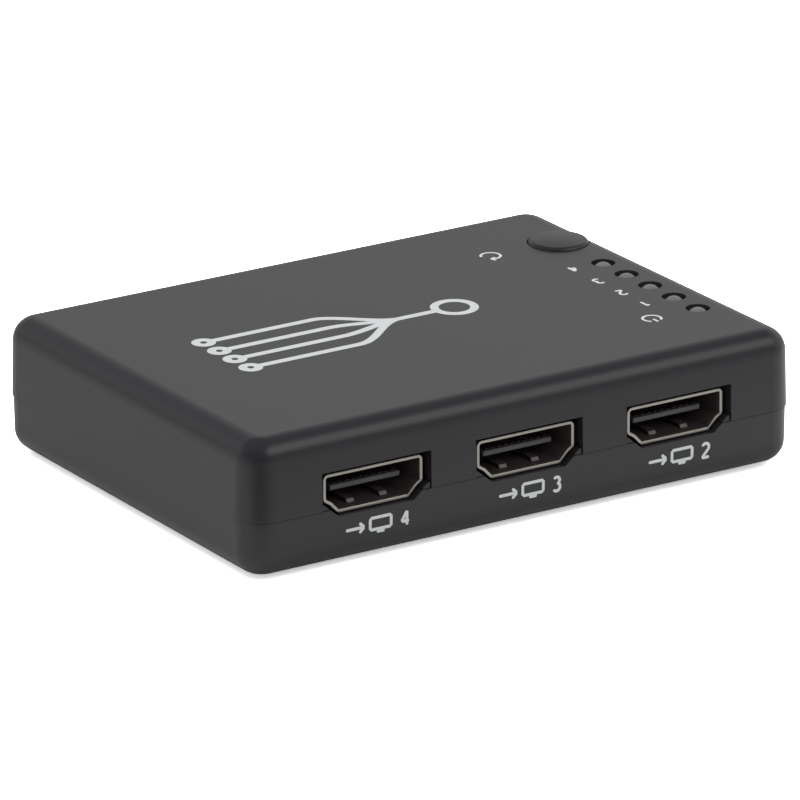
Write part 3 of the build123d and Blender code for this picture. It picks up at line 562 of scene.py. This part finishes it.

# Sockets. Each is a folded steel shell plated with nickel, round a black insulator whose tongue
# carries nineteen gold-plated contacts. Behind the rim the shell is painted a dull dark brown and is
# less metallic: painted shade inside the opening.
sockets = ["output_4", "output_3", "output_2", "output_1", "input"]
rim_front = 0.0305
rim_back = 0.0301
inner_painted_shade = (0.100, 0.075, 0.078, 1)
painted_shade_metallic = 0.45

receptacle_steel = plated_metal(
    "receptacle_steel", (0.46, 0.44, 0.395), (0.34, 0.31, 0.255), stain=0.35, roughness=0.33
)
tree = receptacle_steel.node_tree
shader = tree.nodes["Principled BSDF"]
where = add(tree, "ShaderNodeTexCoord").outputs["Object"]
outward = math_node(tree, "ABSOLUTE", part_of(tree, where, "Y"))
# 0 behind the rim, where the shell's colour is a painted shade, rising to 1 at the rim.
outside_painted_shade = remap(tree, outward, rim_back, rim_front, 0.0, 1.0)
plated = shader.inputs["Base Color"].links[0].from_socket
tree.links.new(blend_colours(tree, outside_painted_shade, inner_painted_shade, plated), shader.inputs["Base Color"])
metallic = remap(tree, outside_painted_shade, 0.0, 1.0, painted_shade_metallic, 1.0, smooth=False)
tree.links.new(metallic, shader.inputs["Metallic"])
receptacle_plastic = moulded_plastic(
    "receptacle_plastic", (0.084, 0.079, 0.085), roughness=0.42, pit=7000.0, depth=0.00001
)
# The contacts' gold is painted dark and dull: painted shade for the shade deep in the socket.
contact_gold = plated_metal(
    "contact_gold", (0.24, 0.19, 0.12), (0.16, 0.13, 0.08), stain=0.4, roughness=0.45
)
for name in sockets:
    dress(receptacle_steel, "hdmi_shell_" + name)
    dress(receptacle_plastic, "hdmi_insulator_" + name)
    dress(contact_gold, "hdmi_contacts_" + name)

# Power jack. A glass-filled nylon housing on the board at the far side, with a centre pin and a
# bowed spring of tinned metal in its bore.
jack_plastic = moulded_plastic(
    "jack_plastic", (0.018, 0.018, 0.019), roughness=0.4, pit=5000.0, depth=0.00001
)
dress(jack_plastic, "power_jack_housing")
dress(tinned_metal, "power_jack_spring", "power_jack_pin")

# Lights. Five lamps of milky grey resin, stood off the board on nylon spacers so that their tops
# lie just inside the holes of the top shell.
resin_cloud = 900.0
resin_shades = (0.165, 0.185)
resin_roughness = (0.30, 0.38)

lamp_resin, tree, shader, where = material_on("lamp_resin")
cloud = noise(tree, where, resin_cloud)
milky = grey_of(tree, remap(tree, cloud, cloud_low, cloud_high, *resin_shades))
tree.links.new(milky, shader.inputs["Base Color"])
rough = remap(tree, cloud, cloud_low, cloud_high, *resin_roughness)
tree.links.new(rough, shader.inputs["Roughness"])
dress(lamp_resin, "led_power", "led_output_1", "led_output_2", "led_output_3", "led_output_4")
spacer_plastic = moulded_plastic(
    "spacer_plastic", (0.02, 0.02, 0.02), roughness=0.5, pit=4000.0, depth=0.00001
)
dress(spacer_plastic, "led_spacers")
dress(tinned_metal, "led_leads")

switch_steel = plated_metal(
    "switch_steel", (0.6, 0.59, 0.57), (0.45, 0.42, 0.4), stain=0.4, roughness=0.32
)
dress(switch_steel, "switch_cover", "switch_dome")
switch_plastic = moulded_plastic(
    "switch_plastic", (0.02, 0.02, 0.02), roughness=0.45, pit=5000.0, depth=0.00001
)
dress(switch_plastic, "switch_housing", "switch_plunger")
dress(tinned_metal, "switch_terminals")
button_plastic = moulded_plastic(
    "button_plastic", (0.0245, 0.0245, 0.0255), roughness=0.33, pit=7000.0, depth=0.000006
)
dress(button_plastic, "reset_button_cap")
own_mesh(nodes["switch_dome"])


# Printed marks. A thin layer of white ink on the top and both long sides: plain numbers by the
# lights and sockets, and simple signs drawn in even strokes with round ends. Strokes, pens and ink
# are in millimetres, and the place functions carry them to the frame.
millimetre = 0.001
ink_depth = 0.01
ink_proud = 0.02
ink_step = 0.002
fewest_steps = 3
steps_per_millimetre = 14
tip_angle = 0.12
tip_steps = 8
arc_points = 49


def line(*corners):
    """Pen strokes in millimetres, one straight one between each pair of corners."""
    return [np.array(pair, float) for pair in zip(corners[:-1], corners[1:])]


def arc(x, y, radius, start, end):
    """One curved pen stroke: x + r cos t, y + r sin t, with t in degrees from start to end."""
    t = np.radians(np.linspace(start, end, arc_points))
    return [np.stack([x + radius * np.cos(t), y + radius * np.sin(t)], 1)]


def box_stroke(x0, y0, x1, y1):
    """Four pen strokes round a rectangle."""
    return line((x0, y0), (x1, y0), (x1, y1), (x0, y1), (x0, y0))


def inked_stroke(path, pen, lift):
    """Points and faces of a solid ribbon of ink. Its spine is the path, and at each distance along
    it the two edges lie at spine +- half * normal. Half is half the pen; within that distance of
    an open end it is half the pen * sqrt(1 - n * n), where n grows from 0 to 1 at the end."""
    run = np.concatenate([[0], np.cumsum(np.hypot(*np.diff(path, axis=0).T))])
    length = run[-1]
    ring = np.allclose(path[0], path[-1])
    steps = max(fewest_steps, int(length * steps_per_millimetre))
    tip = (1 - np.cos(np.linspace(tip_angle, np.pi / 2, tip_steps))) * pen / 2
    middle = np.linspace(pen / 2, length - pen / 2, steps)
    distances = np.concatenate([tip[:-1], middle, length - tip[-2::-1]])
    if ring:
        distances = np.linspace(0, length, steps)[:-1]
    spine = np.stack([np.interp(distances, run, path[:, axis]) for axis in (0, 1)], 1)
    if ring:
        tangent = np.roll(spine, -1, 0) - np.roll(spine, 1, 0)
    else:
        tangent = np.gradient(spine, distances, axis=0)
    tangent /= np.hypot(*tangent.T)[:, None]
    normal = np.stack([-tangent[:, 1], tangent[:, 0]], 1)
    to_end = np.minimum(distances, length - distances)
    near_end = np.clip(1 - to_end / (pen / 2), 0, 0 if ring else 1)
    half = pen / 2 * np.sqrt(1 - near_end ** 2)
    left_edge, right_edge = spine + half[:, None] * normal, spine - half[:, None] * normal
    count = len(distances)
    low = np.full(count, -ink_depth)
    high = np.full(count, ink_proud + lift)
    rows = [(left_edge, low), (left_edge, high), (right_edge, high), (right_edge, low)]
    corners = len(rows)
    points = np.stack([np.column_stack([edge_points, level]) for edge_points, level in rows], 1)
    here = corners * np.arange(count if ring else count - 1)[:, None, None]
    ahead = (here + corners) % (corners * count)
    side = np.arange(corners)[None, :, None]
    turn = (side + 1) % corners
    faces = np.concatenate([here + side, here + turn, ahead + turn, ahead + side], 2).reshape(-1, 4)
    if not ring:
        last = corners * (count - 1)
        faces = np.concatenate([faces, [[3, 2, 1, 0], [last, last + 1, last + 2, last + 3]]])
    return points.reshape(-1, 3), faces


def print_mark(name, strokes, pen, place, material):
    """Inks pen strokes on the case; place carries points (u, v, h) to the frame."""
    points, faces, count = [], [], 0
    for index, path in enumerate(strokes):
        stroke_points, stroke_faces = inked_stroke(path, pen, index * ink_step)
        points.append(stroke_points)
        faces.append(stroke_faces + count)
        count += len(stroke_points)
    mesh = bpy.data.meshes.new(name)
    mesh.from_pydata(place(np.concatenate(points)), [], np.concatenate(faces).tolist())
    mesh.materials.append(material)
    mark = bpy.data.objects.new(name, mesh)
    scene.collection.objects.link(mark)
    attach(mark, "case")


draft_degrees = 0.9

top_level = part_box("top_shell")[1].z
front_at_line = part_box("bottom_shell")[0].y
side_draft = math.tan(math.radians(draft_degrees))


def on_top(x, y):
    """Place on the flat top, read from the back: u runs to -X and v to -Y."""
    def place(points):
        u, v, h = points.T * millimetre
        return np.stack([x * millimetre - u, y * millimetre - v, top_level + h], 1)
    return place


def on_side(x, z, side):
    """Place on a drafted long side of the bottom shell, -1 for the front and 1 for the back; u
    runs to the reader's right."""
    def place(points):
        u, v, h = points.T * millimetre
        up = z * millimetre + v
        out = -front_at_line - (parting_height - up) * side_draft + h
        return np.stack([x * millimetre - side * u, side * out, up], 1)
    return place


def numeral(digit, height, width):
    """Pen strokes of a plain numeral from 1 to 4, centred across, standing on v = 0. Its corners
    and bows are shares of its height and width."""
    half = width / 2
    if digit == 1:
        stem = 0.10 * width
        return line((-0.30 * width, 0.76 * height), (stem, height), (stem, 0))
    if digit == 2:
        bow = 0.27 * height
        head = arc(0, height - bow, bow, 160, -40)[0]
        foot = np.array([(-half, 0.0)])
        return [np.concatenate([head, foot])] + line((-half, 0), (half, 0))
    if digit == 3:
        middle = -0.06 * width
        upper = arc(middle, 0.75 * height, 0.235 * height, 150, -80)
        return upper + arc(middle, 0.27 * height, 0.275 * height, 85, -150)
    stem, bar = 0.22 * width, 0.30 * height
    return line((stem, height), (-half, bar), (half, bar)) + line((stem, height), (stem, 0))


ink_grain = 1400.0
ink_thin_share = 0.90
ink_red_share = 0.96
ink_grain_depth = 0.000006
ink_low = 0.25
ink_high = 0.75
ink_roughness = (0.42, 0.56)


def ink(name, level):
    """Opaque ink of one grey level, a little uneven where it was pressed on the grained skin."""
    material, tree, shader, where = material_on(name)
    cloud = noise(tree, where, ink_grain, detail=3.0, roughness=0.6)
    shade = remap(tree, cloud, ink_low, ink_high, level * ink_thin_share, level)
    red = math_node(tree, "MULTIPLY", shade, ink_red_share)
    tint = add(tree, "ShaderNodeCombineXYZ", (0, red), (1, shade), (2, shade))
    tree.links.new(tint.outputs[0], shader.inputs["Base Color"])
    rough = remap(tree, cloud, cloud_low, cloud_high, *ink_roughness)
    tree.links.new(rough, shader.inputs["Roughness"])
    bump(tree, shader, cloud, ink_grain_depth)
    return material


white_ink = ink("white_ink", level=0.78)
grey_ink = ink("grey_ink", level=0.70)

# Marks on the top. Beside the light of each output stands its number, beside the power light a
# broken ring with a bar, and beside the reset button a turning arrow.
mark_x = 31.4
light_mark_y = {4: 6.19, 3: 0.14, 2: -5.52, 1: -11.02}
light_mark_height = 1.8
light_mark_width = 1.0
light_mark_pen = 0.38
sign_pen = 0.36
power_place = (28.8, -17.4)
power_radius = 1.25
power_arc = (125, 415)
power_bar = ((0, 0.3), (0, 1.55))
reset_place = (25.2, 16.1)
turn_radius = 1.35
turn_arc = (60, 350)
turn_barb = ((0.40, 2.0), (0.72, 1.15), (-0.15, 0.85))

for digit, y in light_mark_y.items():
    strokes = numeral(digit, light_mark_height, light_mark_width)
    print_mark(f"light_mark_{digit}", strokes, light_mark_pen, on_top(mark_x, y), white_ink)
power_sign = arc(0, 0, power_radius, *power_arc) + line(*power_bar)
print_mark("light_mark_power", power_sign, sign_pen, on_top(*power_place), white_ink)
turn_sign = arc(0, 0, turn_radius, *turn_arc) + line(*turn_barb)
print_mark("reset_mark", turn_sign, sign_pen, on_top(*reset_place), white_ink)

# Marks on the sides. Under each socket stand a screen, an arrow to or from it, and the number of
# an output; under the power inlet stands the sign for direct current.
output_places = {4: (-23.5, -1), 3: (0.0, -1), 2: (23.5, -1), 1: (-23.5, 1)}
input_x = -1.2
supply_x = 23.5
side_pen = 0.42
side_base = 4.0
screen_left = -1.0
screen_right = 2.2
screen_foot = 0.35
screen_height = 1.95
screen_stand = ((0.0, 0.0), (1.2, 0.0))
arrow_far = -4.7
arrow_near = -1.9
arrow_level = 1.0
barb_run = 0.75
barb_rise = 0.68
number_place = 4.35
number_width = 1.15
supply_line = ((-1.6, 1.15), (1.6, 1.15))
supply_dashes = ((-1.6, -0.9), (-0.35, 0.35), (0.9, 1.6))
supply_dash_level = 0.45


def outlet_sign(digit, reverse=False):
    """A screen, an arrow to it and the socket's number; the inlet's arrow comes from the screen."""
    sign = box_stroke(screen_left, screen_foot, screen_right, screen_height)
    sign += line(*screen_stand)
    tip, tail = (arrow_far, arrow_near) if reverse else (arrow_near, arrow_far)
    back = barb_run if reverse else -barb_run
    sign += line((tail, arrow_level), (tip, arrow_level))
    upper, lower = arrow_level + barb_rise, arrow_level - barb_rise
    sign += line((tip + back, upper), (tip, arrow_level), (tip + back, lower))
    if digit is None:
        return sign
    return sign + [path + (number_place, 0) for path in numeral(digit, screen_height, number_width)]


for digit, (x, side) in output_places.items():
    place = on_side(x, side_base, side)
    print_mark(f"output_mark_{digit}", outlet_sign(digit), side_pen, place, white_ink)
input_sign = outlet_sign(None, reverse=True)
print_mark("input_mark", input_sign, side_pen, on_side(input_x, side_base, 1), white_ink)
supply_sign = line(*supply_line)
for start, end in supply_dashes:
    supply_sign += line((start, supply_dash_level), (end, supply_dash_level))
print_mark("supply_mark", supply_sign, side_pen, on_side(supply_x, side_base, 1), white_ink)

# Large sign on the top. One line that splits into four, each with its ring, stands for what the
# box does; it is printed in pale grey ink like the other marks.
branch_pen = 1.15
sign_place = (-7.8, 0.8)
branch_v = np.array([-5.9, -1.95, 1.95, 5.9])
head_u = -17.2
head_radius = 2.7
fan_start = -8.5
fan_end = 1.5
ring_u = 18.3
ring_radius = 1.05
fan_points = 41

large_sign = arc(head_u, 0, head_radius, 0, 360)
large_sign += line((head_u + head_radius, 0), (fan_start + branch_pen, 0))
share = np.linspace(0, 1, fan_points)
ease = share ** 2 * (3 - 2 * share)
for v in branch_v:
    fan = np.stack([fan_start + share * (fan_end - fan_start), ease * v], 1)
    reach = np.array([(ring_u - ring_radius, v)])
    large_sign += [np.concatenate([fan, reach])] + arc(ring_u, v, ring_radius, 0, 360)
print_mark("splitting_sign", large_sign, branch_pen, on_top(*sign_place), grey_ink)
